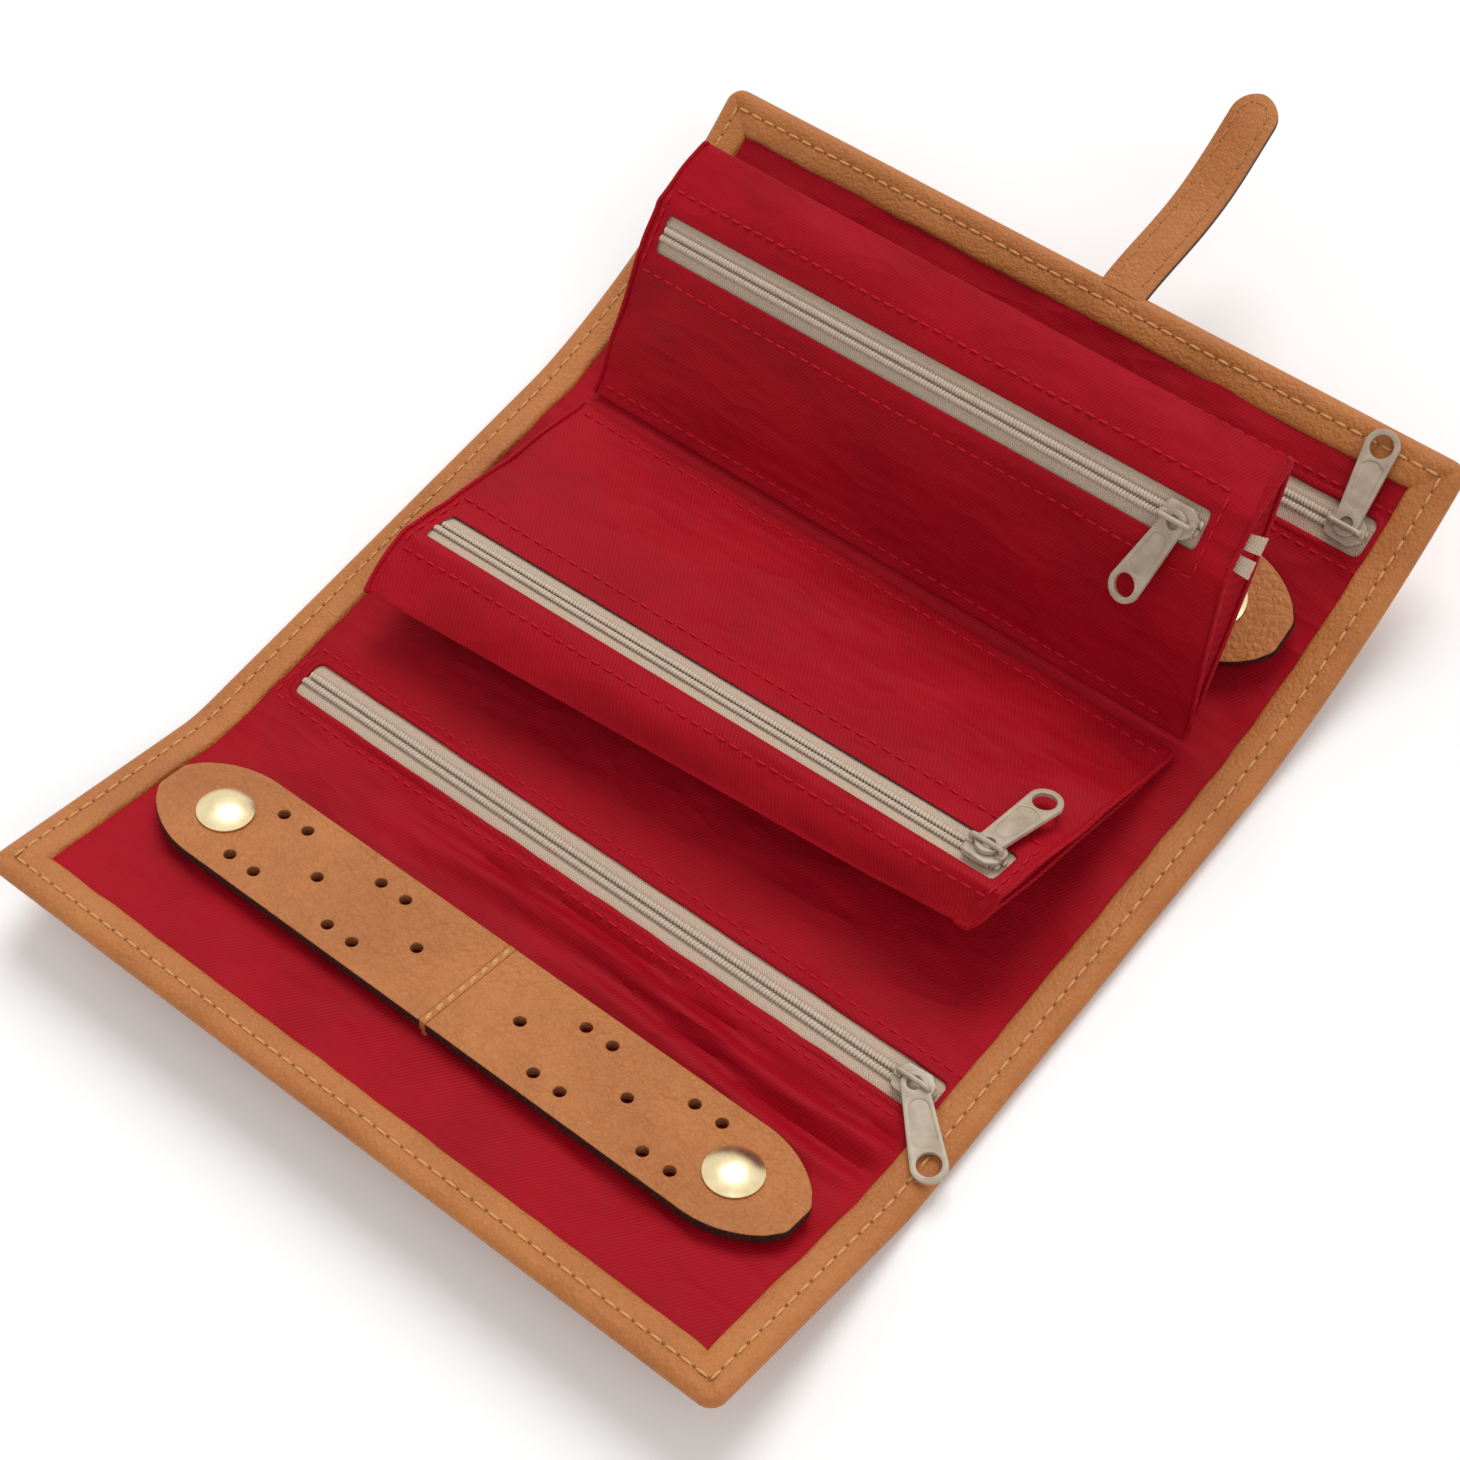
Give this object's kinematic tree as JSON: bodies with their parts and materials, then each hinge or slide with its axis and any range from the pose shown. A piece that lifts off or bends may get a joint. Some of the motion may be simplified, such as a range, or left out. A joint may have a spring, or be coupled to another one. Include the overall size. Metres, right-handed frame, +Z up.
{
  "type": "jewellery case",
  "caption": "Folding leather jewellery case, opened out, with a red lining, zipped pockets and pages, perforated snap straps and a closing tongue.",
  "frame": {"origin": "middle of the centre panel's underside, on the surface that the case lies on", "axes": "+Z up, +Y from the centre panel towards the far panel and its tongue, +X to the right across the case"},
  "size_m": [0.2009, 0.3058, 0.0604],
  "materials": {
    "leather": "pebbled, softly waxed",
    "strap_leather": "smooth, with a dark painted edge",
    "lining": "fine satin twill",
    "pocket_cloth": "plain weave",
    "padding": "felted wadding",
    "zip_tape": "woven tape",
    "zip_coil": "nylon",
    "zip_metal": "stone-coloured enamel",
    "snap_metal": "polished",
    "magnet": "plated"
  },
  "bodies": {
    "base": {"centre_cover": "leather", "centre_padding": "padding", "closure_magnet": "magnet", "centre_lining": "lining", "centre_pocket_bag": "pocket_cloth", "centre_zip_tapes": "zip_tape", "centre_zip_coils": "zip_coil"},
    "near_panel": {"near_cover": "leather", "near_padding": "padding", "near_lining": "lining", "near_strap_bar": "strap_leather", "near_left_stud": "snap_metal", "near_right_stud": "snap_metal"},
    "far_panel": {"far_cover": "leather", "far_padding": "padding", "far_lining": "lining", "far_pocket_bag": "pocket_cloth", "far_zip_tapes": "zip_tape", "far_zip_coils": "zip_coil", "far_strap_bar": "strap_leather", "far_left_stud": "snap_metal", "far_right_stud": "snap_metal"},
    "near_page": {"near_page_back": "lining", "near_page_front": "lining", "near_page_band": "lining", "near_page_left_end": "lining", "near_page_right_end": "lining", "near_page_zip_tapes": "zip_tape", "near_page_zip_coils": "zip_coil"},
    "far_page": {"far_page_back": "lining", "far_page_front": "lining", "far_page_band": "lining", "far_page_left_end": "lining", "far_page_right_end": "lining", "far_page_zip_tapes": "zip_tape", "far_page_zip_coils": "zip_coil"},
    "tongue": {"tongue_outer_ply": "leather", "tongue_inner_ply": "leather", "tongue_magnet": "magnet"},
    "near_left_flap": {"near_left_flap": "strap_leather", "near_left_cap": "snap_metal"},
    "near_right_flap": {"near_right_flap": "strap_leather", "near_right_cap": "snap_metal"},
    "far_left_flap": {"far_left_flap": "strap_leather", "far_left_cap": "snap_metal"},
    "far_right_flap": {"far_right_flap": "strap_leather", "far_right_cap": "snap_metal"},
    "centre_slider": {"centre_zip_slider": "zip_metal"},
    "centre_pull": {"centre_zip_pull": "zip_metal"},
    "far_slider": {"far_zip_slider": "zip_metal"},
    "far_pull": {"far_zip_pull": "zip_metal"},
    "near_page_slider": {"near_page_zip_slider": "zip_metal"},
    "near_page_pull": {"near_page_zip_pull": "zip_metal"},
    "far_page_slider": {"far_page_zip_slider": "zip_metal"},
    "far_page_pull": {"far_page_zip_pull": "zip_metal"}
  },
  "joints": [
    {"name": "near_fold", "type": "hinge", "parent": "base", "child": "near_panel", "pos_m": [0, -0.0585, 0.0042], "axis": [-1, 0, 0], "range_deg": [-16, 110]},
    {"name": "far_fold", "type": "hinge", "parent": "base", "child": "far_panel", "pos_m": [0, 0.0585, 0.0042], "axis": [1, 0, 0], "range_deg": [-6, 45]},
    {"name": "near_page_swing", "type": "hinge", "parent": "base", "child": "near_page", "pos_m": [0, 0.057, 0.00345], "axis": [-1, 0, 0], "range_deg": [-7, 30]},
    {"name": "far_page_swing", "type": "hinge", "parent": "far_panel", "child": "far_page", "pos_m": [0, 0.06007, 0.00361], "axis": [-1, 0, 0], "range_deg": [-65, 8]},
    {"name": "tongue_bend", "type": "hinge", "parent": "far_panel", "child": "tongue", "pos_m": [0.012, 0.13669, 0.03026], "axis": [1, 0, 0], "range_deg": [-20, 60]},
    {"name": "near_left_lift", "type": "hinge", "parent": "near_panel", "child": "near_left_flap", "pos_m": [-0.0009, -0.07476, 0.01307], "axis": [0, -0.9598, 0.2807], "range_deg": [-85, 0]},
    {"name": "near_right_lift", "type": "hinge", "parent": "near_panel", "child": "near_right_flap", "pos_m": [0.0009, -0.07476, 0.01307], "axis": [0, 0.9598, -0.2807], "range_deg": [-85, 0]},
    {"name": "far_left_lift", "type": "hinge", "parent": "far_panel", "child": "far_left_flap", "pos_m": [-0.0009, 0.08758, 0.01461], "axis": [0, -0.9594, -0.2821], "range_deg": [-3, 0]},
    {"name": "far_right_lift", "type": "hinge", "parent": "far_panel", "child": "far_right_flap", "pos_m": [0.0009, 0.08758, 0.01461], "axis": [0, 0.9594, 0.2821], "range_deg": [-3, 0]},
    {"name": "centre_zip_slide", "type": "slide", "parent": "base", "child": "centre_slider", "axis": [1, 0, 0], "range_m": [-0.164, 0]},
    {"name": "centre_pull_swing", "type": "hinge", "parent": "centre_slider", "child": "centre_pull", "pos_m": [0.0838, -0.0362, 0.00735], "axis": [-1, 0, 0], "range_deg": [0, 165]},
    {"name": "far_zip_slide", "type": "slide", "parent": "far_panel", "child": "far_slider", "axis": [1, 0, 0], "range_m": [-0.164, 0]},
    {"name": "far_pull_swing", "type": "hinge", "parent": "far_slider", "child": "far_pull", "pos_m": [0.0838, 0.11333, 0.02298], "axis": [1, 0, 0], "range_deg": [0, 165]},
    {"name": "near_page_zip_slide", "type": "slide", "parent": "near_page", "child": "near_page_slider", "axis": [0.9988, -0.0043, 0.0498], "range_m": [-0.146, 0]},
    {"name": "near_page_pull_swing", "type": "hinge", "parent": "near_page_slider", "child": "near_page_pull", "pos_m": [0.0716, 0.00582, 0.0293], "axis": [0.9988, -0.0043, 0.0498], "range_deg": [0, 165]},
    {"name": "far_page_zip_slide", "type": "slide", "parent": "far_page", "child": "far_page_slider", "axis": [0.9947, -0.0514, 0.0893], "range_m": [-0.141, 0]},
    {"name": "far_page_pull_swing", "type": "hinge", "parent": "far_page_slider", "child": "far_page_pull", "pos_m": [0.06642, 0.07639, 0.05302], "axis": [-0.9947, 0.0514, -0.0893], "range_deg": [0, 165]}
  ]
}
